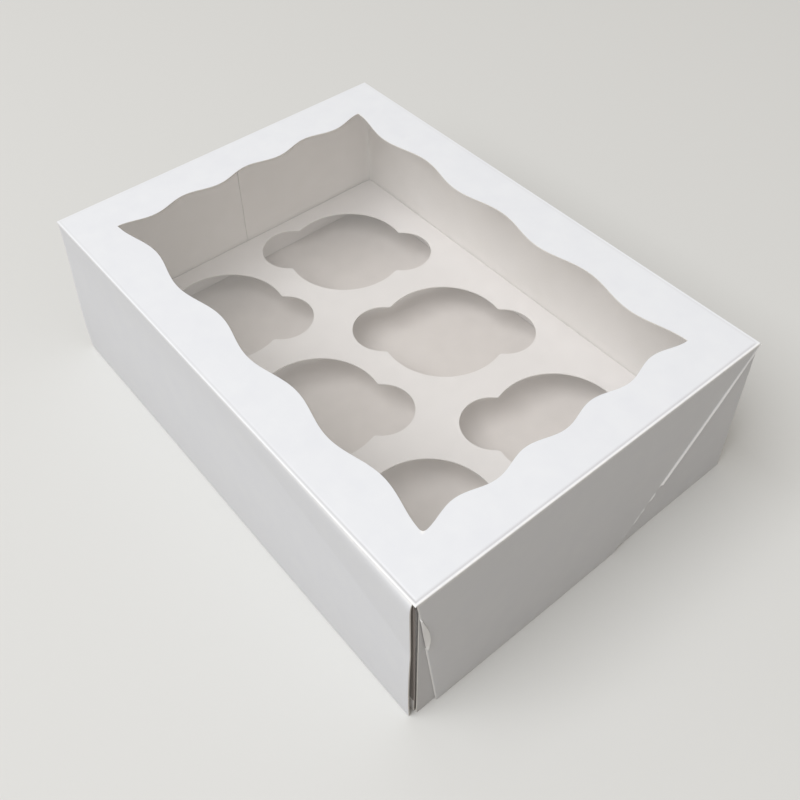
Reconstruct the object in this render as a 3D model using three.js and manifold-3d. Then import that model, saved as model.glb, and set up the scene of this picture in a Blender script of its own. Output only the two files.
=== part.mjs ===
// Cupcake box folded from coated white board: a base tray, a lid with a wavy
// window and three flaps that hang outside the tray, and a six-cup insert.
// X runs along the hinge, Y from the front to the hinge, Z up from the table.

import * as THREE from 'three';
import { mergeVertices } from 'three/addons/utils/BufferGeometryUtils.js';
import Module from 'manifold-3d';

const wasm = await Module();
wasm.setup();

// Driving dimensions, in millimetres.
const lidLength = 240;
const lidDepth = 170;
const boxHeight = 76;
const boardThickness = 0.5;
const foldGap = 0.3; // between two panels at a fold that turns
const slideGap = 0.3; // between a hanging flap and the wall behind it

const windowMarginFront = 18.7;
const windowMarginBack = 19.9;
const windowMarginLeft = 20.2;
const windowMarginRight = 18.5;
const waveHeightLong = 2.1; // half the wave, on the two long edges
const waveHeightShort = 1.7; // the same on the two short edges
const wavesPerEdge = 4;
const pointsPerWave = 12;

const filmThickness = 0.15;
const filmOverlap = 7; // film glued behind the board, past the window
const glueLine = 0.1;

const frontFlapStandoff = 2.0; // how far its lower edge springs out
const frontFlapBelly = 0.8; // and its middle beyond that
const frontFlapEndInset = 1.6;
const frontFlapRows = 12;
const flapFloorGap = 0.3; // flaps end just above the table

const sideFlapFrontTaper = 8.6; // its front end slants back by this much
const sideFlapFrontInset = 0.8;
const sideFlapMitreRun = 67; // its rear end is cut on the diagonal

const cornerRelief = 0.4; // side wall to front wall at the table
const cornerGape = 1.6; // the same at the top edge
const seamGap = 0.6; // where two corner flaps meet inside a short wall

const insertLength = 226;
const insertDepth = 165;
const insertHeight = 17; // table to the top of the insert
const insertThickness = 0.45;
const insertPlay = 0.3; // to the walls it is pushed against
const insertCornerRelief = 3;
const cupsAlong = 3;
const cupsAcross = 2;
const cupPitchAlong = 74;
const cupPitchAcross = 73;
const cupHoleRadius = 29.3;
const earRadius = 14.5; // two finger lobes on each cup hole
const earReach = 28; // from the middle of the hole to the middle of a lobe
const earAngle = THREE.MathUtils.degToRad(48);
const holeFacets = 48;
const earFacets = 32;
const placeStep = 0.001; // places are rounded to this before pieces are joined

// Places that follow from them. The front flap springs forward of the lid, so
// the lid sits a little behind the middle of the whole box.
const lidFront = (frontFlapStandoff - lidDepth) / 2;
const lidBack = lidFront + lidDepth;
const lidEnd = lidLength / 2;
const lidUnderside = boxHeight - boardThickness;
const wallTop = lidUnderside - foldGap;
const wallEnd = lidEnd - boardThickness - slideGap; // outer face of a short wall
const wallFront = lidFront + boardThickness + slideGap;
const wallInnerEnd = wallEnd - 2 * boardThickness; // short walls are two boards thick
const wallInnerBack = lidBack - boardThickness;

const windowLeft = -lidEnd + windowMarginLeft;
const windowRight = lidEnd - windowMarginRight;
const windowFront = lidFront + windowMarginFront;
const windowBack = lidBack - windowMarginBack;

const alongY = new THREE.Vector3(0, 1, 0);
const alongZ = new THREE.Vector3(0, 0, 1);
const alongX = new THREE.Vector3(1, 0, 0);

// A closed solid from a geometry, with only its positions left, rounded so that
// faces that meet share the very same plane.
function toSolid(geometry) {
  geometry.deleteAttribute('normal');
  geometry.deleteAttribute('uv');
  const places = geometry.attributes.position;
  for (let index = 0; index < places.array.length; index += 1) {
    places.array[index] = Math.round(places.array[index] / placeStep) * placeStep;
  }
  const merged = mergeVertices(geometry);
  return new wasm.Manifold(new wasm.Mesh({
    numProp: 3,
    vertProperties: new Float32Array(merged.attributes.position.array),
    triVerts: new Uint32Array(merged.index.array),
  }));
}

function toGeometry(solid) {
  const mesh = solid.getMesh();
  const geometry = new THREE.BufferGeometry();
  geometry.setAttribute('position', new THREE.BufferAttribute(mesh.vertProperties, 3));
  geometry.setIndex(new THREE.BufferAttribute(mesh.triVerts, 1));
  geometry.computeVertexNormals();
  return geometry;
}

function joined(solids) {
  return solids.reduce((whole, next) => whole.add(next));
}

// A flat panel between two corners.
function panel(low, high) {
  const size = high.map((value, axis) => value - low[axis]);
  const geometry = new THREE.BoxGeometry(...size);
  geometry.translate(...low.map((value, axis) => value + size[axis] / 2));
  return geometry;
}

// An outline drawn in X and Y, as a sheet lying with its lower face at zBottom.
function flatSheet(outline, thickness, zBottom) {
  const geometry = new THREE.ExtrudeGeometry(outline, { depth: thickness, bevelEnabled: false });
  geometry.translate(0, 0, zBottom);
  return geometry;
}

// An outline drawn in Y and Z, as a sheet standing with its left face at xLeft.
function endSheet(outline, thickness, xLeft) {
  const geometry = new THREE.ExtrudeGeometry(outline, { depth: thickness, bevelEnabled: false });
  geometry.applyMatrix4(new THREE.Matrix4().makeBasis(alongY, alongZ, alongX));
  geometry.translate(xLeft, 0, 0);
  return geometry;
}

function outlineOf(points) {
  return new THREE.Shape(points.map(([u, v]) => new THREE.Vector2(u, v)));
}

// One wavy edge of the window, a cosine that peaks outward at both ends.
function wavyEdge(start, end, outward, height) {
  const steps = wavesPerEdge * pointsPerWave;
  const points = [];
  for (let step = 0; step < steps; step += 1) {
    const share = step / steps;
    const dip = height * (1 - Math.cos(2 * Math.PI * wavesPerEdge * share));
    points.push(new THREE.Vector2(
      THREE.MathUtils.lerp(start[0], end[0], share) - outward[0] * dip,
      THREE.MathUtils.lerp(start[1], end[1], share) - outward[1] * dip,
    ));
  }
  return points;
}

function windowPath() {
  const corners = [
    [windowLeft, windowFront], [windowRight, windowFront],
    [windowRight, windowBack], [windowLeft, windowBack],
  ];
  const outward = [[0, -1], [1, 0], [0, 1], [-1, 0]];
  const heights = [waveHeightLong, waveHeightShort, waveHeightLong, waveHeightShort];
  const points = corners.flatMap((corner, side) => (
    wavyEdge(corner, corners[(side + 1) % corners.length], outward[side], heights[side])
  ));
  return new THREE.Path(points);
}

function makeLidPanel() {
  const outline = outlineOf([
    [-lidEnd, lidFront], [lidEnd, lidFront], [lidEnd, lidBack], [-lidEnd, lidBack],
  ]);
  outline.holes.push(windowPath());
  return flatSheet(outline, boardThickness, lidUnderside);
}

function makeWindowFilm() {
  const top = lidUnderside - glueLine;
  return panel(
    [windowLeft - filmOverlap, windowFront - filmOverlap, top - filmThickness],
    [windowRight + filmOverlap, windowBack + filmOverlap, top],
  );
}

// The front flap leaves the lid plumb and curves out to its lower edge.
function makeFrontFlap() {
  const height = wallTop - flapFloorGap;
  const length = lidLength - 2 * frontFlapEndInset;
  const geometry = new THREE.BoxGeometry(length, boardThickness, height, 1, 1, frontFlapRows);
  const places = geometry.attributes.position;
  for (let index = 0; index < places.count; index += 1) {
    const drop = 0.5 - places.getZ(index) / height; // 0 at the fold, 1 at the lower edge
    const ease = drop * drop * (3 - 2 * drop);
    const spring = frontFlapStandoff * ease + frontFlapBelly * Math.sin(Math.PI * drop) * drop;
    places.setY(index, places.getY(index) - Math.min(spring, frontFlapStandoff));
  }
  geometry.translate(0, lidFront + boardThickness / 2, flapFloorGap + height / 2);
  return geometry;
}

// A side flap: full length at the fold, slanted in front and mitred behind.
function makeSideFlap(side) {
  const outline = outlineOf([
    [lidFront + sideFlapFrontInset, wallTop],
    [lidFront + sideFlapFrontInset + sideFlapFrontTaper, flapFloorGap],
    [lidBack - sideFlapMitreRun, flapFloorGap],
    [lidBack, wallTop],
  ]);
  const left = side > 0 ? lidEnd - boardThickness : -lidEnd;
  return endSheet(outline, boardThickness, left);
}

// A short wall seen from its end: it gapes from the front wall towards the top.
function shortWall(side) {
  const outline = outlineOf([
    [wallFront + cornerRelief, 0], [lidBack, 0],
    [lidBack, wallTop], [wallFront + cornerGape, wallTop],
  ]);
  const left = side > 0 ? wallEnd - boardThickness : -wallEnd;
  return endSheet(outline, boardThickness, left);
}

// The two corner flaps glued inside a short wall, one from each long wall.
function cornerFlaps(side) {
  const inner = side > 0 ? wallInnerEnd : -wallInnerEnd - boardThickness;
  const middle = (wallFront + lidBack) / 2;
  return [[wallFront, middle - seamGap / 2], [middle + seamGap / 2, lidBack]].map(([from, to]) => (
    panel([inner, from, 0], [inner + boardThickness, to, wallTop])
  ));
}

function makeBaseTray() {
  const outer = wallEnd;
  const pieces = [
    panel([-outer, wallFront, 0], [outer, lidBack, boardThickness]),
    panel([-outer + boardThickness, wallFront, 0],
      [outer - boardThickness, wallFront + boardThickness, wallTop]),
    panel([-outer + boardThickness, wallInnerBack, 0],
      [outer - boardThickness, lidBack, wallTop]),
  ];
  for (const side of [-1, 1]) {
    pieces.push(shortWall(side), ...cornerFlaps(side));
  }
  return toGeometry(joined(pieces.map(toSolid)));
}

// One cup hole: a circle with a lobe on each side along the diagonal.
function cupCutter(x, y) {
  const drill = (radius, facets, centreX, centreY) => {
    const geometry = new THREE.CylinderGeometry(radius, radius, 2 * insertHeight, facets);
    geometry.rotateX(Math.PI / 2);
    geometry.translate(centreX, centreY, insertHeight);
    return toSolid(geometry);
  };
  const reachX = earReach * Math.cos(earAngle);
  const reachY = earReach * Math.sin(earAngle);
  return joined([
    drill(cupHoleRadius, holeFacets, x, y),
    drill(earRadius, earFacets, x - reachX, y - reachY),
    drill(earRadius, earFacets, x + reachX, y + reachY),
  ]);
}

// The insert is pushed against the left and back walls and stands on four legs.
function makeCupcakeInsert() {
  const left = -wallInnerEnd + insertPlay;
  const right = left + insertLength;
  const back = wallInnerBack - insertPlay;
  const front = back - insertDepth;
  const under = insertHeight - insertThickness;
  const foot = boardThickness + insertPlay;
  let sheet = toSolid(panel([left, front, under], [right, back, insertHeight]));
  for (let column = 0; column < cupsAlong; column += 1) {
    for (let row = 0; row < cupsAcross; row += 1) {
      sheet = sheet.subtract(cupCutter(
        (left + right) / 2 + (column - (cupsAlong - 1) / 2) * cupPitchAlong,
        (front + back) / 2 + (row - (cupsAcross - 1) / 2) * cupPitchAcross,
      ));
    }
  }
  const relief = insertCornerRelief;
  const legs = [
    panel([left + relief, front, foot], [right - relief, front + insertThickness, insertHeight]),
    panel([left + relief, back - insertThickness, foot], [right - relief, back, insertHeight]),
    panel([left, front + relief, foot], [left + insertThickness, back - relief, insertHeight]),
    panel([right - insertThickness, front + relief, foot], [right, back - relief, insertHeight]),
  ];
  return toGeometry(joined([sheet, ...legs.map(toSolid)]));
}

// Coated board is a cool white outside and a warmer grey-white inside.
function coatedBoard() {
  return new THREE.MeshStandardMaterial({ color: 0xeceef3, roughness: 0.42, metalness: 0 });
}

function insideBoard() {
  return new THREE.MeshStandardMaterial({ color: 0xdcd8d2, roughness: 0.62, metalness: 0 });
}

function clearFilm() {
  return new THREE.MeshStandardMaterial({
    color: 0xf4f6f6, roughness: 0.08, metalness: 0, transparent: true, opacity: 0.12,
  });
}

const cupcakeBox = new THREE.Group();

function addPiece(name, geometry, material) {
  const mesh = new THREE.Mesh(geometry, material);
  mesh.name = name;
  cupcakeBox.add(mesh);
}

addPiece('base_tray', makeBaseTray(), insideBoard());
addPiece('cupcake_insert', makeCupcakeInsert(), insideBoard());
addPiece('lid_panel', makeLidPanel(), coatedBoard());
addPiece('window_film', makeWindowFilm(), clearFilm());
addPiece('front_flap', makeFrontFlap(), coatedBoard());
addPiece('side_flap_left', makeSideFlap(-1), coatedBoard());
addPiece('side_flap_right', makeSideFlap(1), coatedBoard());

export default cupcakeBox;
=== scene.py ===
import math
import bpy
import numpy as np
from mathutils import Matrix, Vector


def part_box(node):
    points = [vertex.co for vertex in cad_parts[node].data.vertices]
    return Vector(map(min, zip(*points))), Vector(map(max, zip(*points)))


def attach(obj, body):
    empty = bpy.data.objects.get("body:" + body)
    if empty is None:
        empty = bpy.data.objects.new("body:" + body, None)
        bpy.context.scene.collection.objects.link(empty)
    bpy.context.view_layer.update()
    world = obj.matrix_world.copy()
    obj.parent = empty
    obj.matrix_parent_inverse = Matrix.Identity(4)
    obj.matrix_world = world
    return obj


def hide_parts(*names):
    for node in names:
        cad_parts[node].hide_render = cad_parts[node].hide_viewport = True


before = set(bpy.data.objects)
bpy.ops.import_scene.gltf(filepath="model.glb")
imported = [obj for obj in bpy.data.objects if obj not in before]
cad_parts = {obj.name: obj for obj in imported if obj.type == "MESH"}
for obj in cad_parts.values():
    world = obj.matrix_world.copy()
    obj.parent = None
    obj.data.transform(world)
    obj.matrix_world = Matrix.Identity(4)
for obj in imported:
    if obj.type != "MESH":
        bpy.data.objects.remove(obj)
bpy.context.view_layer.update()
mm = 0.001
print("frame loaded")

# The photograph's camera, worked out from the box's corners. Metres and degrees, with
# the lens and the sensor in millimetres.
photoCamera = {
    "place": (0.2377, -0.1834, 0.3520),
    "azimuth": 51.633,
    "elevation": 44.946,
    "roll": -1.445,
    "lens": 45.473,
    "sensor": 36,
    "shiftX": 0.010,
    "shiftY": -0.100,
    "nearest": 0.01,
}


# The camera looks against back = (sin az cos el, -cos az cos el, sin el). Its right
# and up directions are then turned about that line by the roll.
def addCamera(facts):
    az, el, roll = (math.radians(facts[key]) for key in ("azimuth", "elevation", "roll"))
    back = Vector((math.sin(az) * math.cos(el), -math.cos(az) * math.cos(el), math.sin(el)))
    right = Vector((math.cos(az), math.sin(az), 0))
    up = back.cross(right)
    turnedRight = math.cos(roll) * right + math.sin(roll) * up
    turnedUp = math.cos(roll) * up - math.sin(roll) * right
    data = bpy.data.cameras.new("photo_camera")
    data.lens = facts["lens"]
    data.sensor_width = facts["sensor"]
    data.shift_x = facts["shiftX"]
    data.shift_y = facts["shiftY"]
    data.clip_start = facts["nearest"]
    camera = bpy.data.objects.new("photo_camera", data)
    turn = Matrix((turnedRight, turnedUp, back)).transposed().to_4x4()
    camera.matrix_world = Matrix.Translation(facts["place"]) @ turn
    bpy.context.collection.objects.link(camera)
    bpy.context.scene.camera = camera


addCamera(photoCamera)
bpy.context.scene.view_settings.view_transform = "Standard"


# Colours are written as sRGB hex and turned linear here: c / 12.92 up to 0.04045,
# ((c + 0.055) / 1.055) to the power 2.4 above it.
def linear(hexCode):
    channels = [int(hexCode[at:at + 2], 16) / 255 for at in (1, 3, 5)]
    return [c / 12.92 if c <= 0.04045 else ((c + 0.055) / 1.055) ** 2.4 for c in channels] + [1]


# A new material, its node tree and its Principled shader.
def newMaterial(name):
    material = bpy.data.materials.new(name)
    material.use_nodes = True
    tree = material.node_tree
    return material, tree, tree.nodes["Principled BSDF"]


# One node with its settings, its links and, on a colour ramp, its stops: links maps
# an input to (node, output), and a stop is a position and a colour.
def addNode(tree, kind, settings=None, inputs=None, links=None, stops=()):
    node = tree.nodes.new(kind)
    for key, value in (settings or {}).items():
        setattr(node, key, value)
    for key, value in (inputs or {}).items():
        node.inputs[key].default_value = value
    for key, (source, output) in (links or {}).items():
        tree.links.new(source.outputs[output], node.inputs[key])
    for index, (position, colour) in enumerate(stops):
        node.color_ramp.elements[index].position = position
        node.color_ramp.elements[index].color = colour
    return node


# A noise pattern's scale, from the size of its features in millimetres.
def patternScale(sizeMm):
    return 1000 / sizeMm


# A noise's values lie between these two nearly everywhere.
noiseLow, noiseHigh = 0.3, 0.7

# A colour Mix node's factor, first colour, second colour and result, by number.
mixFactor, mixFirst, mixSecond, mixResult = 0, 6, 7, 2

boardLook = {
    "fibreMm": 0.35,  # clumps of fibre under the coat, drawn a little coarse to show
    "fibreHeight": 0.04 * mm,
    "mottleMm": 9,  # slow change of tone over a sheet
    "cockleMm": 38,  # the sheet's slight unevenness, which bends its reflections
    "cockleHeight": 1.2 * mm,
    "crackMm": 2.381,  # broken stretches of cracked coat along a fold
    "crackStrength": 1.7,
    "paintedShadeHex": "#948b85",  # painted shade: the tone that shaded spots are darkened towards
    "sheenSpread": 0.03,
    "ior": 1.5,
}


# Board colour: a slow mottle noise moves between the dark and the base tone. A fold
# that has cracked the coat goes towards the crease tone by strength * noise * crease value,
# and where the crease value is below 0, painted shade darkens it towards the shade tone by
# minus that value. Roughness = the board's own, and up to the sheen spread more or less with the mottle.
def boardMaterial(name, hexCode, darkHex, creaseHex, roughness, fibreBump, cockleBump):
    material, tree, shader = newMaterial(name)
    place = addNode(tree, "ShaderNodeTexCoord")
    noises = {}
    for key, detail in (("mottleMm", 4), ("fibreMm", 3), ("crackMm", 3), ("cockleMm", 1)):
        noises[key] = addNode(tree, "ShaderNodeTexNoise",
                              inputs={"Scale": patternScale(boardLook[key]), "Detail": detail},
                              links={"Vector": (place, "Object")})
    tone = addNode(tree, "ShaderNodeValToRGB", links={"Fac": (noises["mottleMm"], "Fac")},
                   stops=[(noiseLow, linear(darkHex)), (noiseHigh, linear(hexCode))])
    creaseAndShade = addNode(tree, "ShaderNodeAttribute", {"attribute_name": "creaseAndShade"})
    product = {"operation": "MULTIPLY", "use_clamp": True}
    crack = addNode(tree, "ShaderNodeMath", product,
                    links={0: (creaseAndShade, "Fac"), 1: (noises["crackMm"], "Fac")})
    crackFull = addNode(tree, "ShaderNodeMath", product, {1: boardLook["crackStrength"]},
                        {0: (crack, "Value")})
    # Painted shade: where the crease value is below 0, the board is darkened towards the shade tone.
    paintedShade = addNode(tree, "ShaderNodeMath", product, {1: -1.0}, {0: (creaseAndShade, "Fac")})
    cracked = addNode(tree, "ShaderNodeMix", {"data_type": "RGBA"}, {mixSecond: linear(creaseHex)},
                      {mixFactor: (crackFull, "Value"), mixFirst: (tone, "Color")})
    shaded = addNode(tree, "ShaderNodeMix", {"data_type": "RGBA"},
                   {mixSecond: linear(boardLook["paintedShadeHex"])},
                   {mixFactor: (paintedShade, "Value"), mixFirst: (cracked, mixResult)})
    tree.links.new(shaded.outputs[mixResult], shader.inputs["Base Color"])
    sheen = addNode(tree, "ShaderNodeMapRange",
                    inputs={"From Min": noiseLow, "From Max": noiseHigh,
                            "To Min": roughness - boardLook["sheenSpread"],
                            "To Max": roughness + boardLook["sheenSpread"]},
                    links={"Value": (noises["mottleMm"], "Fac")})
    tree.links.new(sheen.outputs["Result"], shader.inputs["Roughness"])
    slow = addNode(tree, "ShaderNodeBump",
                   inputs={"Strength": cockleBump, "Distance": boardLook["cockleHeight"]},
                   links={"Height": (noises["cockleMm"], "Fac")})
    fine = addNode(tree, "ShaderNodeBump",
                   inputs={"Strength": fibreBump, "Distance": boardLook["fibreHeight"]},
                   links={"Height": (noises["fibreMm"], "Fac"), "Normal": (slow, "Normal")})
    tree.links.new(fine.outputs["Normal"], shader.inputs["Normal"])
    shader.inputs["IOR"].default_value = boardLook["ior"]
    return material


# Clay-coated boxboard, calendered: cool white with a soft satin sheen.
coatedBoard = boardMaterial("clay_coated_boxboard", "#eff1f5", "#eceef3", "#ffffff",
                            roughness=0.42, fibreBump=0.10, cockleBump=0.08)
# The uncoated back of the same board: warmer and more matt.
boardBack = boardMaterial("boxboard_uncoated_back", "#f8f4f1", "#f4f0ec", "#fdfbf8",
                          roughness=0.62, fibreBump=0.22, cockleBump=0.1)
# The back of the tray's bottom, darker for painted shade under the insert.
bottomBackShaded = boardMaterial("boxboard_bottom_painted_shade", "#e2dbd6", "#dcd5d0", "#efece8",
                           roughness=0.66, fibreBump=0.22, cockleBump=0.1)
# The insert's board, a lighter uncoated sheet.
insertBoard = boardMaterial("insert_board_uncoated", "#f3efed", "#efebe9", "#faf9f6",
                            roughness=0.58, fibreBump=0.2, cockleBump=0.12)

edgeLook = {
    "pulpMm": 0.3846,  # torn fibre along the cut, drawn coarser than it is to show
    "pulpHeight": 0.05 * mm,
    "bump": 0.3,
    "darkHex": "#f1efe9",
    "paleHex": "#fdfcf8",
    "roughness": 0.85,
}


# Die-cut board edge: raw pulp seen end on, matt, its tone and height one noise.
def cutEdgeMaterial():
    material, tree, shader = newMaterial("die_cut_board_edge")
    place = addNode(tree, "ShaderNodeTexCoord")
    pulp = addNode(tree, "ShaderNodeTexNoise",
                   inputs={"Scale": patternScale(edgeLook["pulpMm"]), "Detail": 2},
                   links={"Vector": (place, "Object")})
    tone = addNode(tree, "ShaderNodeValToRGB", links={"Fac": (pulp, "Fac")},
                   stops=[(noiseLow, linear(edgeLook["darkHex"])),
                          (noiseHigh, linear(edgeLook["paleHex"]))])
    tree.links.new(tone.outputs["Color"], shader.inputs["Base Color"])
    rough = addNode(tree, "ShaderNodeBump",
                    inputs={"Strength": edgeLook["bump"], "Distance": edgeLook["pulpHeight"]},
                    links={"Height": (pulp, "Fac")})
    tree.links.new(rough.outputs["Normal"], shader.inputs["Normal"])
    shader.inputs["Roughness"].default_value = edgeLook["roughness"]
    return material


cutEdge = cutEdgeMaterial()

filmLook = {
    "slackMm": 71.4,  # broad waves where the film hangs slack
    "slackHeight": 1.0 * mm,
    "bump": 0.35,
    "darkHex": "#f4f6f5",
    "paleHex": "#fafbfa",
    "roughness": 0.09,
    "ior": 1.57,
    "alpha": 0.10,
}


# Clear PET window film, cast smooth: nearly all light goes through, and the waves of
# its slack bend the shine on it.
def filmMaterial():
    material, tree, shader = newMaterial("clear_pet_film")
    place = addNode(tree, "ShaderNodeTexCoord")
    slack = addNode(tree, "ShaderNodeTexNoise",
                    inputs={"Scale": patternScale(filmLook["slackMm"]), "Detail": 1},
                    links={"Vector": (place, "Object")})
    ripple = addNode(tree, "ShaderNodeBump",
                     inputs={"Strength": filmLook["bump"], "Distance": filmLook["slackHeight"]},
                     links={"Height": (slack, "Fac")})
    tree.links.new(ripple.outputs["Normal"], shader.inputs["Normal"])
    haze = addNode(tree, "ShaderNodeValToRGB", links={"Fac": (slack, "Fac")},
                   stops=[(noiseLow, linear(filmLook["darkHex"])),
                          (noiseHigh, linear(filmLook["paleHex"]))])
    tree.links.new(haze.outputs["Color"], shader.inputs["Base Color"])
    shader.inputs["Roughness"].default_value = filmLook["roughness"]
    shader.inputs["IOR"].default_value = filmLook["ior"]
    shader.inputs["Alpha"].default_value = filmLook["alpha"]
    material.surface_render_method = "BLENDED"
    return material


clearFilm = filmMaterial()
print("materials made")


# A mesh object from points, quads with a material number each, and the crease value of
# every point: above 0 for cracked or bare coat, below 0 for painted shade.
def meshObject(name, points, faces, kinds, materials, creaseAndShade, smoothAngle=35):
    mesh = bpy.data.meshes.new(name)
    mesh.from_pydata(points.tolist(), [], faces.tolist())
    for material in materials:
        mesh.materials.append(material)
    mesh.polygons.foreach_set("material_index", kinds.astype(np.int32))
    attribute = mesh.attributes.new("creaseAndShade", "FLOAT", "POINT")
    attribute.data.foreach_set("value", creaseAndShade.astype(np.float32))
    mesh.update()
    mesh.shade_smooth()
    mesh.set_sharp_from_angle(angle=math.radians(smoothAngle))
    piece = bpy.data.objects.new(name, mesh)
    bpy.context.collection.objects.link(piece)
    return piece


# Quads of a grid of rows by columns of points, numbered row by row from start: point
# (r, c) with (r, c + 1), (r + 1, c + 1) and (r + 1, c). A wrapped grid closes on itself.
def gridFaces(rows, columns, start=0, wrapColumns=False):
    index = start + np.arange(rows * columns).reshape(rows, columns)
    if wrapColumns:
        index = np.concatenate([index, index[:, :1]], axis=1)
    return np.stack([index[:-1, :-1], index[:-1, 1:], index[1:, 1:], index[1:, :-1]], -1).reshape(-1, 4)


# Unit normals of a grid surface: the cross product of its two slopes.
def gridNormals(surface):
    along = np.gradient(surface, axis=1)
    down = np.gradient(surface, axis=0)
    normal = np.cross(along, down)
    return normal / np.linalg.norm(normal, axis=-1, keepdims=True)


# A sheet of board: the grid surface is its face, and its back is that surface moved
# by the thickness against the normal. The rim between them is the cut edge. Gives
# points, quads numbered from start, their material numbers and the points' crease.
def sheetParts(surface, thickness, creaseAndShade, start, backKind=1):
    rows, columns, _ = surface.shape
    back = surface - gridNormals(surface) * thickness
    points = np.concatenate([surface.reshape(-1, 3), back.reshape(-1, 3)])
    count = rows * columns
    face = gridFaces(rows, columns, start)
    reverse = gridFaces(rows, columns, start + count)[:, ::-1]
    index = np.arange(count).reshape(rows, columns)
    loop = np.concatenate([index[0, :-1], index[:-1, -1], index[-1, :0:-1], index[:0:-1, 0]])
    following = np.roll(loop, -1)
    rim = np.stack([loop, loop + count, following + count, following], -1) + start
    faces = np.concatenate([face, reverse, rim])
    kinds = np.repeat([0, backKind, 2], [len(face), len(reverse), len(rim)])
    shade = np.zeros((rows, columns)) if creaseAndShade is None else creaseAndShade
    return points, faces, kinds, np.concatenate([shade.ravel(), np.maximum(shade.ravel(), 0)])


# Several sheets as one piece: (surface, thickness, crease) and, if it isn't 1, the
# number of the back's material.
def sheetPiece(name, sheets, materials):
    parts, start = [], 0
    for surface, thickness, creaseAndShade, *backKind in sheets:
        parts.append(sheetParts(surface, thickness, creaseAndShade, start, *backKind))
        start += len(parts[-1][0])
    points, faces, kinds, shades = (np.concatenate(group) for group in zip(*parts))
    return meshObject(name, points, faces, kinds, materials, shades)


lidLow, lidHigh = (np.array(corner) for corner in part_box("lid_panel"))
trayLow, trayHigh = (np.array(corner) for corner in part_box("base_tray"))
boardThick = 0.5 * mm
outerFaces = [coatedBoard, boardBack, cutEdge]


# Soft unevenness of a sheet, so that it isn't a drawn plane: three slow waves that
# add up to the height at most, of 17 to 63 radians per metre.
def unevenness(u, v, height, phase):
    return height * (0.5 * np.sin(21 * u + phase) * np.cos(17 * v + 2 * phase)
                     + 0.3 * np.sin(47 * u - 31 * v + phase)
                     + 0.2 * np.cos(63 * v + 11 * u + 3 * phase))


lidFacts = {
    "marginFront": 18.7 * mm,  # from each fold to the window's tips
    "marginBack": 19.9 * mm,
    "marginLeft": 20.2 * mm,
    "marginRight": 18.5 * mm,
    "waveLong": 2.1 * mm,  # half the depth of the waves in the window's edge
    "waveShort": 1.7 * mm,
    "waves": 4,
    "foldRadius": 0.5 * mm,
    "sag": 0.05 * mm,  # how far the board sinks by the window
    "rippleShare": 0.4,
    "grooveIn": 1.25 * mm,  # the score pressed beside each fold
    "grooveWidth": 0.4 * mm,
    "grooveDepth": 0.22 * mm,
    # painted shade in the pressed score, as a crease value below 0
    "grooveShade": -0.3,
    # How far the score, its painted shade and its cracks show from the start to the end of the
    # front, right, back and left fold. The photographed ones are worn at the right front corner.
    "foldWear": ((0.2, 1.0), (1.0, 0.9), (0.3, 0.1), (0.1, 0.15)),
    "wearBeside": 0.3,
    "nickReach": 1.5 * mm,  # torn fibres in the window's right front tip
    "nickDepth": 1.0 * mm,
    "nickWay": (-0.72, 0.69),
    "nickRidges": 9000,
    "nickPale": 2,
    "stepsLong": 288,
    "stepsShort": 192,
    "rowShares": ((0, 0.76, 13), (0.79, 1, 16)),  # from window to fold, closer by the score
    "rollSteps": 6,
    "lowerRows": 9,
}


# The lid's ring, side by side from the left front corner: points along the window's
# edge, height * (1 - cos(2 pi waves share)) inside the line between its tips, the
# points of the outer edge that they are lofted to, and the wear of the fold there,
# begin + (end - begin) * share^3. The torn tip's points move into the window by
# depth * torn * (0.65 + 0.35 sin(ridges * away)).
def lidRing():
    left, right = lidLow[0] + lidFacts["marginLeft"], lidHigh[0] - lidFacts["marginRight"]
    front, back = lidLow[1] + lidFacts["marginFront"], lidHigh[1] - lidFacts["marginBack"]
    corners = np.array([[left, front], [right, front], [right, back], [left, back]])
    outer = np.array([[lidLow[0], lidLow[1]], [lidHigh[0], lidLow[1]],
                      [lidHigh[0], lidHigh[1]], [lidLow[0], lidHigh[1]]])
    outward = np.array([[0, -1], [1, 0], [0, 1], [-1, 0]])
    inside, outside, wear = [], [], []
    for side in range(4):
        steps = lidFacts["stepsLong"] if side % 2 == 0 else lidFacts["stepsShort"]
        height = lidFacts["waveLong"] if side % 2 == 0 else lidFacts["waveShort"]
        share = np.arange(steps)[:, None] / steps
        dip = height * (1 - np.cos(2 * np.pi * lidFacts["waves"] * share))
        nextSide = (side + 1) % 4
        inside.append(corners[side] + (corners[nextSide] - corners[side]) * share - outward[side] * dip)
        outside.append(outer[side] + (outer[nextSide] - outer[side]) * share)
        begin, end = lidFacts["foldWear"][side]
        wear.append(begin + (end - begin) * share.ravel() ** 3)
    inside = np.concatenate(inside)
    away = np.linalg.norm(inside - corners[1], axis=1)
    torn = np.clip(1 - away / lidFacts["nickReach"], 0, 1)
    fray = lidFacts["nickDepth"] * torn * (0.65 + 0.35 * np.sin(away * lidFacts["nickRidges"]))
    inside = inside + fray[:, None] * np.array(lidFacts["nickWay"])
    return inside, np.concatenate(outside), torn, np.concatenate(wear)


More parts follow.
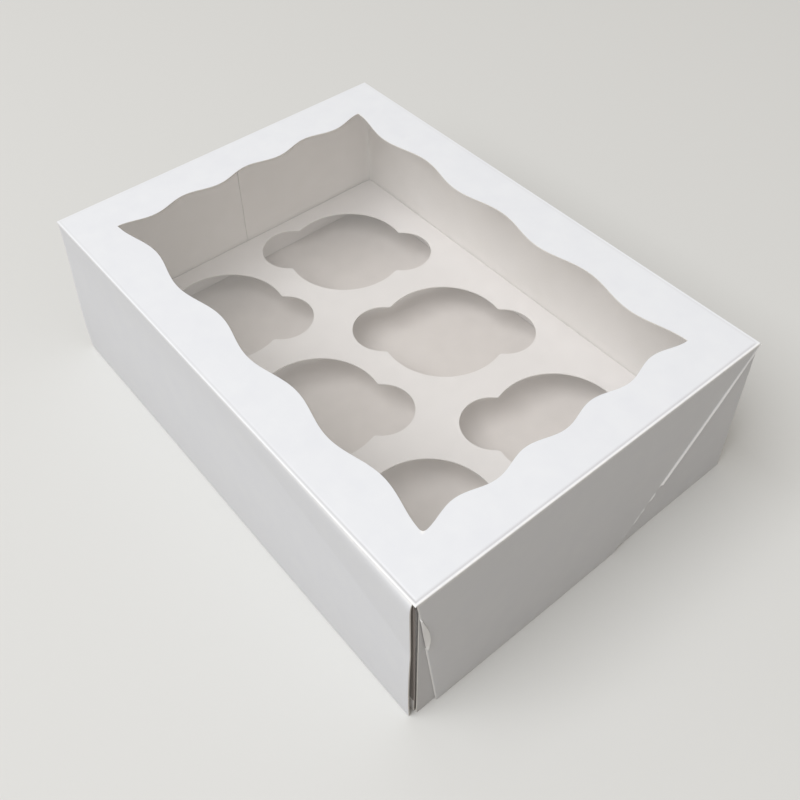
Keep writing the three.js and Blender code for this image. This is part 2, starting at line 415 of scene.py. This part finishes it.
# The lid's upper rows of points with their crease: lofted from the window's wavy edge
# (row 0) to the fold, then rolled down a quarter circle. The flat part is sunk by the
# pressed score, depth * wear * exp(-x^2) with x measured from the groove in groove
# widths, by the sag, which grows as the square towards the window, and by the ripple.
def lidUpper(inside, outside, torn, wear):
    radius, rollSteps = lidFacts["foldRadius"], lidFacts["rollSteps"]
    middle = (lidLow[:2] + lidHigh[:2]) / 2
    half = (lidHigh[:2] - lidLow[:2]) / 2
    flatEdge = middle + (outside - middle) * ((half - radius) / half)
    across = np.concatenate([np.linspace(*rows) for rows in lidFacts["rowShares"]])[:, None, None]
    flat = inside[None] + (flatEdge - inside)[None] * across
    toFold = np.min(half - np.abs(flat - middle), axis=-1)
    fromGroove = (toFold - lidFacts["grooveIn"]) / lidFacts["grooveWidth"]
    pressed = wear * np.exp(-fromGroove ** 2)
    toWindow = 1 - across[..., 0]
    rippleHeight = lidFacts["sag"] * lidFacts["rippleShare"]
    ripple = unevenness(flat[..., 0], flat[..., 1], rippleHeight, phase=0.9) * toWindow
    sag = lidFacts["sag"] * toWindow ** 2
    top = lidHigh[2] - lidFacts["grooveDepth"] * pressed - sag - np.abs(ripple)
    turn = np.linspace(0, np.pi / 2, rollSteps)[1:, None, None]
    rollOut = flatEdge[None] + (outside - flatEdge)[None] * np.sin(turn)
    rollDown = lidHigh[2] - radius * (1 - np.cos(turn[..., 0])) + np.zeros(rollOut.shape[:2])
    upper = np.concatenate([np.dstack([flat, top]), np.dstack([rollOut, rollDown])])
    creaseAndShade = np.zeros(upper.shape[:2])
    # Painted shade along the pressed score: the crease value there goes below 0.
    creaseAndShade[:len(flat)] = lidFacts["grooveShade"] * pressed
    creaseAndShade[-rollSteps:] = wear
    creaseAndShade[-rollSteps - 1] = lidFacts["wearBeside"] * wear
    creaseAndShade[0] = lidFacts["nickPale"] * torn
    return upper, creaseAndShade


# The lid's underside, from the roll's inner edge back to the window: one row inside the
# roll, and then the flat part, one board below the top.
def lidUnderside(inside, outside):
    middle = (lidLow[:2] + lidHigh[:2]) / 2
    half = (lidHigh[:2] - lidLow[:2]) / 2
    edge = middle + (outside - middle) * ((half - boardThick) / half)
    inward = np.dstack([edge[None], np.full((1, len(edge)), lidHigh[2] - lidFacts["foldRadius"])])
    back = np.linspace(1, 0, lidFacts["lowerRows"])[:, None, None]
    flat = inside[None] + (edge - inside)[None] * back
    return np.concatenate([inward, np.dstack([flat, np.full(flat.shape[:2], lidHigh[2] - boardThick)])])


# Lid: the upper rows and the underside as one grid that closes on itself around the
# window, and a rim from its last row to its first as the window's cut edge.
def makeLid():
    inside, outside, torn, wear = lidRing()
    upper, creaseAndShade = lidUpper(inside, outside, torn, wear)
    grid = np.concatenate([upper, lidUnderside(inside, outside)])
    rows, columns, _ = grid.shape
    here = np.arange(columns)
    ahead = np.roll(here, -1)
    last = (rows - 1) * columns
    rim = np.stack([last + here, last + ahead, ahead, here], -1)
    faces = np.concatenate([gridFaces(rows, columns, wrapColumns=True), rim])[:, ::-1]
    rowKind = np.zeros(rows - 1, int)
    rowKind[len(upper) - 1:] = 2
    rowKind[len(upper) + 1:] = 1
    kinds = np.concatenate([np.repeat(rowKind, columns), np.full(columns, 2)])
    shade = np.concatenate([creaseAndShade, np.zeros((rows - len(upper), columns))])
    piece = meshObject("lid_board", grid.reshape(-1, 3), faces, kinds, outerFaces,
                       shade.ravel(), smoothAngle=50)
    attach(piece, "lid")
    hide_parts("lid_panel")


makeLid()
print("lid made")

flapFacts = {
    "foldDrop": 0.52 * mm,  # top of a flap, just under the lid's rolled fold
    "floorGap": 0.3 * mm,
    "frontStandoff": 2.0 * mm,  # how far the front flap springs out at its lower edge
    "frontBelly": 0.8 * mm,
    "frontInset": 1.6 * mm,
    "frontSpare": 0.2 * mm,
    "frontColumns": 161,
    "frontRows": 121,
    "roundReach": 1.1 * mm,
    "roundDrop": 1.6 * mm,
    "sideInset": 0.8 * mm,
    "sideTaper": 8.6 * mm,
    "mitreRun": 67 * mm,
    "warp": 0.25 * mm,
    "sideWarpShare": 0.6,
    "creaseWidth": 1.3 * mm,
    "burrWidth": 0.65 * mm,
    "burrHeight": 0.7 * mm,
    "burrAtFold": 0.45,
    "burrGrowth": 2.2,
    "burrWhole": 0.66,  # share of the height, from the fold, below which it is in bits
    "burrBits": 0.5,
    "burrPale": 2.4,
    "bevelWidth": 0.5 * mm,
    "bevelDepth": 0.9,  # share of the board's thickness
    "peelFrom": 0.12,  # shares of the flap's height, from the fold
    "peelTo": 0.43,
    "peelWidth": 2.1 * mm,
    "peelLean": 1.3,  # above 1 its widest place lies below its middle
    "peelBlunt": 0.8,
    "peelLeast": 0.2 * mm,
    "peelStep": 0.35 * mm,
    "peelHeight": 0.9 * mm,
    "barePale": 2.0,
    "sideShares": (0, 0.026, 0.985, 1),  # of the length, with closer columns at both ends
    "sideColumns": (22, 90, 14),
    "sideRows": 141,
}


# A flat panel as a grid: v runs down from the top, u along it through the given shares.
# Its two end lines are straight, and start + (end - start) * u lies between them.
def flapGrid(startTop, startLow, endTop, endLow, top, low, shares, rows):
    u = shares[None]
    v = np.linspace(0, 1, rows)[:, None]
    start = startTop + (startLow - startTop) * v
    end = endTop + (endLow - endTop) * v
    return start + (end - start) * u, top + (low - top) * v + 0 * u, u + 0 * v, v + 0 * u


# The front flap springs outward by standoff * (3 v^2 - 2 v^3) + belly * v sin(pi v). Its
# ripple grows towards the lower edge and is weaker by u (1 - u) away from the ends.
def makeFrontFlap():
    inset = flapFacts["frontInset"]
    top, low = lidHigh[2] - flapFacts["foldDrop"], flapFacts["floorGap"]
    left, right = lidLow[0] + inset, lidHigh[0] - inset
    along, height, u, v = flapGrid(left, left, right, right, top, low,
                                   np.linspace(0, 1, flapFacts["frontColumns"]), flapFacts["frontRows"])
    ease = v * v * (3 - 2 * v)
    spring = flapFacts["frontStandoff"] * ease + flapFacts["frontBelly"] * np.sin(np.pi * v) * v
    ripple = unevenness(along, height, flapFacts["warp"], phase=0.4) * v
    # Towards the sprung corner the fold is rounder, so the flap starts outward sooner.
    roundFold = flapFacts["roundReach"] * u ** 4 * (1 - np.exp(-(top - height) / flapFacts["roundDrop"]))
    spring = np.minimum(np.maximum(spring, roundFold),
                        flapFacts["frontStandoff"] + flapFacts["frontSpare"])
    y = lidLow[1] - spring - ripple * (1 - u * (1 - u))
    surface = np.dstack([along, y, height])
    creaseAndShade = np.clip(1 - (top - height) / flapFacts["creaseWidth"], 0, 1)
    piece = sheetPiece("front_flap_board", [(surface[:, ::-1], boardThick, creaseAndShade[:, ::-1])], outerFaces)
    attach(piece, "front_flap")
    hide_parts("front_flap")


# The die leaves a burr along the mitred end: the face rises in a straight slope over
# its last stretch. The burr grows from the fold down and, below burrWhole, is in bits,
# 0.6 + 1.6 sin(83 v) sin(23 v) with the sines shifted, which end at the lower edge.
def mitreBurr(toEnd, v):
    rise = np.clip(1 - toEnd / flapFacts["burrWidth"], 0, 1)
    whole = np.clip(flapFacts["burrAtFold"] + flapFacts["burrGrowth"] * v, 0, 1)
    bits = np.clip(0.6 + 1.6 * np.sin(83 * v + 1.3) * np.sin(23 * v + 0.4), 0, 1)
    bits = bits * np.clip(2 * (1 - v), 0, flapFacts["burrBits"])
    return rise * np.where(v < flapFacts["burrWhole"], whole, bits)


# A crescent by the front end where the coat has peeled: it lifts in a straight slope
# from the cut edge up to its inner line, width * sin(pi share^lean)^blunt away, and
# steps back down there. Gives how far it lifts, from 0 to 1, and where it is bare.
def peeledCrescent(fromStart, v):
    share = np.clip((v - flapFacts["peelFrom"]) / (flapFacts["peelTo"] - flapFacts["peelFrom"]), 0, 1)
    inner = np.sin(np.pi * share ** flapFacts["peelLean"]) ** flapFacts["peelBlunt"]
    width = flapFacts["peelWidth"] * inner + 1e-6  # never 0, because it divides below
    within = np.clip(fromStart / width, 0, 1)
    step = np.clip((width + flapFacts["peelStep"] - fromStart) / flapFacts["peelStep"], 0, 1)
    there = width > flapFacts["peelLeast"]
    return within * step * there, (step > 0.5) * there


# A side flap is a panel with slanted ends, side is -1 for the left one and 1 for the
# right one. Ripple, burr and peeled coat lift its face, the bevel lowers it.
def makeSideFlap(side, name, node, body):
    top, low = lidHigh[2] - flapFacts["foldDrop"], flapFacts["floorGap"]
    startTop = lidLow[1] + flapFacts["sideInset"]
    ends = flapFacts["sideShares"]
    stretches = [np.linspace(*stretch) for stretch in zip(ends, ends[1:], flapFacts["sideColumns"])]
    shares = np.unique(np.concatenate(stretches))
    along, height, _, v = flapGrid(startTop, startTop + flapFacts["sideTaper"], lidHigh[1],
                                   lidHigh[1] - flapFacts["mitreRun"], top, low, shares,
                                   flapFacts["sideRows"])
    face = lidHigh[0] if side > 0 else lidLow[0]
    mitreSlope = math.cos(math.atan(flapFacts["mitreRun"] / (top - low)))
    burr = mitreBurr((along[:, -1:] - along) * mitreSlope, v)
    fromStart = along - along[:, :1]
    peel, peeled = (part * (side > 0) for part in peeledCrescent(fromStart, v))
    ripple = unevenness(along, height, flapFacts["warp"], phase=1.7 + side) + flapFacts["warp"]
    # The front end is pressed thin by the die: its last stretch falls away to the cut.
    bevel = np.clip(1 - fromStart / flapFacts["bevelWidth"], 0, 1) * (peeled < 0.5)
    bevelDepth = flapFacts["bevelDepth"] * boardThick * np.clip(6 * v, 0, 1)
    lift = ripple * v * flapFacts["sideWarpShare"] + flapFacts["burrHeight"] * burr \
        + flapFacts["peelHeight"] * peel - bevelDepth * bevel
    surface = np.dstack([face + side * lift, along, height])
    creaseAndShade = np.clip(1 - (top - height) / flapFacts["creaseWidth"], 0, 1)
    creaseAndShade = np.maximum.reduce([creaseAndShade, flapFacts["burrPale"] * burr, flapFacts["barePale"] * peeled,
                                flapFacts["barePale"] * bevel])
    if side > 0:
        surface, creaseAndShade = surface[:, ::-1], creaseAndShade[:, ::-1]
    piece = sheetPiece(name, [(surface, boardThick, creaseAndShade)], outerFaces)
    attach(piece, body)
    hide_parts(node)


makeFrontFlap()
makeSideFlap(-1, "left_flap_board", "side_flap_left", "left_side_flap")
makeSideFlap(1, "right_flap_board", "side_flap_right", "right_side_flap")
print("flaps made")

trayFacts = {
    "cornerRadius": 1.0 * mm,
    "relief": 0.4 * mm,  # from the front wall to a short wall, at its foot and its top
    "gape": 1.6 * mm,
    "seam": 0.6 * mm,
    "seamShift": 4 * mm,  # the two corner flaps of a short wall meet behind its middle
    "wallGap": 0.1 * mm,  # below the walls, and behind the short ones
    "floorTop": 0.65 * mm,  # where the corner flaps end, just above the bottom
    "wallWarp": 0.2 * mm,
    "floorDent": 0.12 * mm,
    "cornerPale": 0.8,
    "bowReach": 26 * mm,  # the right front corner is sprung open, its flap bowed inward
    "bowDepth": 1.7 * mm,
    # painted shade on the front wall's right end, in the corner behind the front flap
    "shadeReach": 5 * mm,
    "shadeLeast": 0.1,
    "endShade": 0.3,  # painted shade on the right wall's front end, over a share of its length
    "endShadeShare": 0.14,
    "shortWallThick": 0.49 * mm,
    "flapSteps": 24,
    "turnSteps": 7,
    "wallSteps": 58,
    "heightSteps": 40,
    "shortWallSteps": (61, 31),
    "bottomSteps": (61, 41),
}

# The scrap of board at the foot of the right front corner, measured from the tray's
# right end and from the table.
tabFacts = {
    "right": 1.0 * mm,
    "left": 3.4 * mm,
    "high": 8.0 * mm,
    "low": 1.2 * mm,
    "standoff": 0.4 * mm,
    "thick": 0.3 * mm,
    "pale": 0.8,
    "columns": 6,
    "rows": 10,
}


# A long wall with its two corner flaps: a path in plan (flap, round corner, wall,
# round corner, flap) carried straight up. front is -1 for the front wall, 1 for the
# back. The front wall's right flap is bowed inward by depth * sin(pi share^0.45)^2.
def longWall(front):
    radius = trayFacts["cornerRadius"]
    flapSteps, turnSteps = trayFacts["flapSteps"], trayFacts["turnSteps"]
    wallSteps, heightSteps = trayFacts["wallSteps"], trayFacts["heightSteps"]
    endX = trayHigh[0] - boardThick
    faceY = trayLow[1] if front < 0 else trayHigh[1]
    middle = (trayLow[1] + trayHigh[1]) / 2
    seamY = middle + trayFacts["seamShift"] + front * trayFacts["seam"] / 2
    turn = np.linspace(0, np.pi / 2, turnSteps)
    cornerX = endX - radius + radius * np.cos(turn)
    cornerY = faceY - front * radius + front * radius * np.sin(turn)
    straight = np.linspace(seamY, cornerY[0], flapSteps + 1)[:-1]
    half = np.concatenate([np.column_stack([np.full(flapSteps, endX), straight]),
                           np.column_stack([cornerX, cornerY])])
    mirrored = half[::-1] * [-1, 1]
    between = np.linspace(half[-1, 0], mirrored[0, 0], wallSteps + 2)[1:-1]
    wall = np.column_stack([between, np.full(wallSteps, faceY)])
    path = np.concatenate([half, wall, mirrored])
    step = np.arange(len(path))
    onFlap = (step < flapSteps) | (step >= len(path) - flapSteps)
    lowEnd = np.where(onFlap, trayFacts["floorTop"], trayFacts["wallGap"])
    z = trayHigh[2] + (lowEnd - trayHigh[2]) * np.linspace(0, 1, heightSteps)[:, None]
    surface = np.dstack([np.repeat(path[None], heightSteps, 0), z])
    x, y = surface[:, :, 0], surface[:, :, 1]
    warp = np.abs(unevenness(x, z, trayFacts["wallWarp"], phase=2.2))
    y -= front * warp * (np.abs(x) < endX - radius)
    creaseAndShade = np.zeros(z.shape)
    creaseAndShade[:, flapSteps:flapSteps + turnSteps] = trayFacts["cornerPale"]
    creaseAndShade[:, -flapSteps - turnSteps:-flapSteps] = trayFacts["cornerPale"]
    if front > 0:
        return surface[:, ::-1], boardThick, creaseAndShade[:, ::-1]
    fromCorner = np.clip((y - trayLow[1]) / trayFacts["bowReach"], 0, 1)
    x -= trayFacts["bowDepth"] * np.sin(np.pi * fromCorner ** 0.45) ** 2 * (x > endX - radius)
    # Painted shade on the front wall's right end, in the corner behind the front flap: darker towards the
    # end.
    nearEnd = np.clip((x - endX) / trayFacts["shadeReach"] + 1, 0, 1) * (y < cornerY.max())
    creaseAndShade = np.where(nearEnd > trayFacts["shadeLeast"], -nearEnd ** 0.7, creaseAndShade)
    return surface, boardThick, creaseAndShade


# A short wall hangs on the tray's bottom, outside the corner flaps: a flat panel whose
# front end stands a little off the corner, and more so towards the top.
def shortWall(side):
    columns, rows = trayFacts["shortWallSteps"]
    end = trayHigh[1] - trayFacts["wallGap"]
    along, height, u, _ = flapGrid(trayLow[1] + trayFacts["gape"], trayLow[1] + trayFacts["relief"],
                                   end, end, trayHigh[2], trayFacts["wallGap"],
                                   np.linspace(0, 1, columns), rows)
    face = trayHigh[0] if side > 0 else trayLow[0]
    surface = np.dstack([np.full(along.shape, face), along, height])
    if side < 0:
        return surface, trayFacts["shortWallThick"], None
    # Painted shade at the right wall's front end, by the corner, fading over a share of its length.
    creaseAndShade = -trayFacts["endShade"] * np.clip(1 - u / trayFacts["endShadeShare"], 0, 1)
    return surface[:, ::-1], trayFacts["shortWallThick"], creaseAndShade[:, ::-1]


# The bottom: a flat grid, raised by its dents. Its coated face looks down, so the
# grid's rows run the other way round, and its back is the fourth material, darker for painted shade.
def trayFloor():
    columns, rows = trayFacts["bottomSteps"]
    x = np.linspace(trayLow[0] + boardThick, trayHigh[0] - boardThick, columns)[None]
    y = np.linspace(trayLow[1] + boardThick, trayHigh[1] - boardThick, rows)[:, None]
    dent = np.abs(unevenness(x + 0 * y, y + 0 * x, trayFacts["floorDent"], phase=5.1))
    surface = np.dstack([x + 0 * y, y + 0 * x, trayLow[2] + dent])
    return surface[::-1], boardThick, None, 3


# A pale scrap of board at the foot of the front wall by its right end: a flat grid.
def footTab():
    x = trayHigh[0] - np.linspace(tabFacts["right"], tabFacts["left"], tabFacts["columns"])[None]
    z = np.linspace(tabFacts["high"], tabFacts["low"], tabFacts["rows"])[:, None]
    y = np.full((tabFacts["rows"], tabFacts["columns"]), trayLow[1] - tabFacts["standoff"])
    return np.dstack([x + 0 * z, y, z + 0 * x]), tabFacts["thick"], np.full(y.shape, tabFacts["pale"])


# The tray: its walls with their corner flaps, the scrap and the bottom as one piece.
def makeTray():
    sheets = [longWall(-1), longWall(1), shortWall(-1), shortWall(1), footTab(), trayFloor()]
    piece = sheetPiece("tray_board", sheets, outerFaces + [bottomBackShaded])
    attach(piece, "base")
    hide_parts("base_tray")


makeTray()
print("tray made")

insertLow, insertHigh = (np.array(corner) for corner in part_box("cupcake_insert"))
insertFacts = {
    "holesAlong": 3,
    "holesAcross": 2,
    "pitchAlong": 74 * mm,
    "pitchAcross": 73 * mm,
    "holeRadius": 29.3 * mm,
    "earRadius": 14.5 * mm,
    "earReach": 28 * mm,
    "earAngle": math.radians(48),
    "thick": 0.45 * mm,
    "foldRadius": 0.9 * mm,
    "relief": 3 * mm,  # how much shorter a leg is at each end
    "foldPale": 0.7,
    "pointsPerSide": 48,
    "ringSteps": 6,
    "turnSteps": 6,
    "dropSteps": 11,
    "legSteps": 50,
    "joinWithin": 0.001 * mm,
}


# Cup hole outline as a radius for each direction: the larger of the round hole and
# of the far side of a lobe's circle, d cos(t) + sqrt(r^2 - d^2 sin^2(t)).
def holeRadius(angle):
    radius = np.full(angle.shape, insertFacts["holeRadius"])
    reach, ear = insertFacts["earReach"], insertFacts["earRadius"]
    for lobe in (insertFacts["earAngle"], insertFacts["earAngle"] + math.pi):
        away = angle - lobe
        inside = ear ** 2 - (reach * np.sin(away)) ** 2
        lobeRadius = reach * np.cos(away) + np.sqrt(np.maximum(inside, 0))
        radius = np.where((inside > 0) & (np.cos(away) > 0), np.maximum(radius, lobeRadius), radius)
    return radius


# One cell of the insert's top: a ring of points from its cup hole (row 0) straight out
# to the cell's rectangle (last row), with as many points on each of its four sides.
def insertCell(centre, low, high):
    steps = insertFacts["pointsPerSide"]
    corners = np.array([[low[0], low[1]], [high[0], low[1]], [high[0], high[1]], [low[0], high[1]]])
    share = np.arange(steps)[:, None] / steps
    edge = np.concatenate([corners[side] + (corners[(side + 1) % 4] - corners[side]) * share
                           for side in range(4)])
    away = edge - centre
    angle = np.arctan2(away[:, 1], away[:, 0])
    hole = centre + holeRadius(angle)[:, None] * np.column_stack([np.cos(angle), np.sin(angle)])
    across = np.linspace(0, 1, insertFacts["ringSteps"])[:, None, None]
    return hole[None] + (edge - hole)[None] * across


# The lines that part the cells along one side: both ends, and halfway between holes.
def cellEdges(low, middle, high, pitch, count):
    return [low, *(middle + (index - count / 2) * pitch for index in range(1, count)), high]


# The insert's top: one cell around each hole, as an upper and a lower ring with a rim
# in the hole and along the sheet's outer border. Points that two cells share are
# joined. Gives points, quads and the quads' material numbers.
def insertTop():
    pitchAlong, pitchAcross = insertFacts["pitchAlong"], insertFacts["pitchAcross"]
    holesAlong, holesAcross = insertFacts["holesAlong"], insertFacts["holesAcross"]
    low, high = insertLow[:2] + insertFacts["foldRadius"], insertHigh[:2] - insertFacts["foldRadius"]
    middle = (insertLow[:2] + insertHigh[:2]) / 2
    edgesAlong = cellEdges(low[0], middle[0], high[0], pitchAlong, holesAlong)
    edgesAcross = cellEdges(low[1], middle[1], high[1], pitchAcross, holesAcross)
    points, faces, kinds, start = [], [], [], 0
    for column in range(holesAlong):
        for row in range(holesAcross):
            centre = middle + [(column - (holesAlong - 1) / 2) * pitchAlong,
                               (row - (holesAcross - 1) / 2) * pitchAcross]
            cell = insertCell(centre, (edgesAlong[column], edgesAcross[row]),
                              (edgesAlong[column + 1], edgesAcross[row + 1]))
            rows, columns, _ = cell.shape
            count = rows * columns
            for depth, kind in ((0.0, 0), (insertFacts["thick"], 1)):
                flat = np.dstack([cell, np.full((rows, columns), insertHigh[2] - depth)])
                ring = gridFaces(rows, columns, start + kind * count, wrapColumns=True)
                points.append(flat.reshape(-1, 3))
                faces.append(ring if kind else ring[:, ::-1])
                kinds.append(np.full(len(ring), kind))
            here = start + np.arange(columns)
            ahead = np.roll(here, -1)
            rim = np.stack([here, ahead, ahead + count, here + count], -1)
            atBorder = [row == 0, column == holesAlong - 1, row == holesAcross - 1, column == 0]
            border = np.repeat(atBorder, columns // 4)
            outerRim = rim[border][:, ::-1] + (rows - 1) * columns
            faces.extend([rim, outerRim])
            kinds.append(np.full(columns + len(outerRim), 2))
            start += 2 * count
    points = np.concatenate(points)
    nearest = np.round(points / insertFacts["joinWithin"]).astype(int)
    _, kept, joined = np.unique(nearest, axis=0, return_index=True, return_inverse=True)
    return points[kept], joined.ravel()[np.concatenate(faces)], np.concatenate(kinds)


# The insert's legs, one along each side: a quarter roll at the fold and a straight
# drop, radius * sin(turn) outward and radius * cos(turn) up, carried along the fold.
def insertLegs():
    radius, relief = insertFacts["foldRadius"], insertFacts["relief"]
    legSteps, dropSteps = insertFacts["legSteps"], insertFacts["dropSteps"]
    left, front, low = insertLow
    right, back, high = insertHigh
    turn = np.linspace(0, np.pi / 2, insertFacts["turnSteps"])
    drop = np.linspace(high - radius, low, dropSteps + 1)[1:]
    outwardPath = np.concatenate([radius * np.sin(turn), np.full(dropSteps, radius)])
    heightPath = np.concatenate([high - radius + radius * np.cos(turn), drop])
    sides = [
        ((left + relief, front + radius), (right - relief, front + radius), (0, -1)),
        ((right - radius, front + relief), (right - radius, back - relief), (1, 0)),
        ((right - relief, back - radius), (left + relief, back - radius), (0, 1)),
        ((left + radius, back - relief), (left + radius, front + relief), (-1, 0)),
    ]
    creaseAndShade = np.zeros((len(heightPath), legSteps))
    creaseAndShade[:insertFacts["turnSteps"]] = insertFacts["foldPale"]
    legs = []
    for begin, end, outward in sides:
        share = np.linspace(0, 1, legSteps)[None, :, None]
        line = np.array(begin) + np.subtract(end, begin) * share
        plan = line + np.array(outward) * outwardPath[:, None, None]
        leg = np.dstack([plan, np.repeat(heightPath[:, None], legSteps, 1)])
        legs.append((leg[:, ::-1], insertFacts["thick"], creaseAndShade))
    return legs


# The insert: its top and its four legs as one piece.
def makeInsert():
    topPoints, topFaces, topKinds = insertTop()
    parts = [(topPoints, topFaces, topKinds, np.zeros(len(topPoints)))]
    start = len(topPoints)
    for surface, thickness, creaseAndShade in insertLegs():
        parts.append(sheetParts(surface, thickness, creaseAndShade, start))
        start += len(parts[-1][0])
    points, faces, kinds, shades = (np.concatenate(group) for group in zip(*parts))
    piece = meshObject("cup_insert_board", points, faces, kinds, [insertBoard, insertBoard, cutEdge],
                       shades)
    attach(piece, "base")
    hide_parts("cupcake_insert")


makeInsert()
print("insert made")

filmFacts = {
    "thick": 0.12 * mm,
    "slack": 0.3 * mm,
    "ripple": 0.06 * mm,
    "rippleSlant": (9, 4),
    "columns": 81,
    "rows": 61,
}


# Window film: a thin sheet that hangs slack by slack * sin(pi u) * sin(pi v), and by a
# slanted ripple that fades to the edges in the same way.
def makeFilm():
    low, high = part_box("window_film")
    x = np.linspace(low[0], high[0], filmFacts["columns"])[None]
    y = np.linspace(low[1], high[1], filmFacts["rows"])[:, None]
    u = (x - low[0]) / (high[0] - low[0])
    v = (y - low[1]) / (high[1] - low[1])
    hang = np.sin(np.pi * u) * np.sin(np.pi * v)
    alongSlant, acrossSlant = filmFacts["rippleSlant"]
    ripple = filmFacts["ripple"] * np.abs(np.sin(alongSlant * u + acrossSlant * v) * hang)
    surface = np.dstack([x + 0 * y, y + 0 * x, high[2] - filmFacts["slack"] * hang - ripple])
    piece = sheetPiece("window_film_sheet", [(surface, filmFacts["thick"], None)], [clearFilm] * 3)
    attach(piece, "lid")
    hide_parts("window_film")


makeFilm()
print("film made")

floorLook = {
    "seen": "#dcdcda",
    "giving": "#807b74",  # what it throws back onto the box: the photographed table was dark
    "half": 4.0,  # metres from its middle to its sides
    "roughness": 0.9,
}


# Floor: a plain pale sheet that keeps the shadow. Its colour is seen where the largest
# of Is Camera Ray, Is Glossy Ray and Is Transmission Ray is 1, and giving elsewhere.
def addFloor():
    mesh = bpy.data.meshes.new("studio_floor")
    half = floorLook["half"]
    corners = [(-half, -half, 0), (half, -half, 0), (half, half, 0), (-half, half, 0)]
    mesh.from_pydata(corners, [], [(0, 1, 2, 3)])
    material, tree, shader = newMaterial("pale_floor")
    path = addNode(tree, "ShaderNodeLightPath")
    shown = addNode(tree, "ShaderNodeMath", {"operation": "MAXIMUM"},
                    links={0: (path, "Is Camera Ray"), 1: (path, "Is Glossy Ray")})
    shown = addNode(tree, "ShaderNodeMath", {"operation": "MAXIMUM"},
                    links={0: (shown, "Value"), 1: (path, "Is Transmission Ray")})
    tone = addNode(tree, "ShaderNodeValToRGB", links={"Fac": (shown, "Value")},
                   stops=[(0, linear(floorLook["giving"])), (1, linear(floorLook["seen"]))])
    tree.links.new(tone.outputs["Color"], shader.inputs["Base Color"])
    shader.inputs["Roughness"].default_value = floorLook["roughness"]
    mesh.materials.append(material)
    studioFloor = bpy.data.objects.new("studio_floor", mesh)
    bpy.context.collection.objects.link(studioFloor)


lightFacts = {
    "place": (-0.10, -1.50, 2.55),
    "aim": (0, 0, 0.03),
    "size": (2.6, 2.2),
    "watts": 75,
    "lampColour": (0.955, 0.975, 1.0),
    "worldHex": "#fff8ee",
    "worldStrength": 0.40,
    "seenStrength": 0.66,
}


# One broad soft lamp in front of and above the box, and an even, slightly warm world.
# Its strength = worldStrength on the box, and seenStrength where Is Camera Ray is 1.
def addLight():
    data = bpy.data.lights.new("soft_key", "AREA")
    data.shape = "RECTANGLE"
    data.size, data.size_y = lightFacts["size"]
    data.energy = lightFacts["watts"]
    data.color = lightFacts["lampColour"]
    lamp = bpy.data.objects.new("soft_key", data)
    lamp.location = lightFacts["place"]
    towards = Vector(lightFacts["aim"]) - lamp.location
    lamp.rotation_euler = towards.to_track_quat("-Z", "Y").to_euler()
    bpy.context.collection.objects.link(lamp)
    world = bpy.data.worlds.new("even_studio")
    world.use_nodes = True
    background = world.node_tree.nodes["Background"]
    background.inputs["Color"].default_value = linear(lightFacts["worldHex"])
    path = addNode(world.node_tree, "ShaderNodeLightPath")
    strength = addNode(world.node_tree, "ShaderNodeMapRange",
                       inputs={"To Min": lightFacts["worldStrength"], "To Max": lightFacts["seenStrength"]},
                       links={"Value": (path, "Is Camera Ray")})
    world.node_tree.links.new(strength.outputs["Result"], background.inputs["Strength"])
    bpy.context.scene.world = world


addFloor()
addLight()
print("floor and light made")
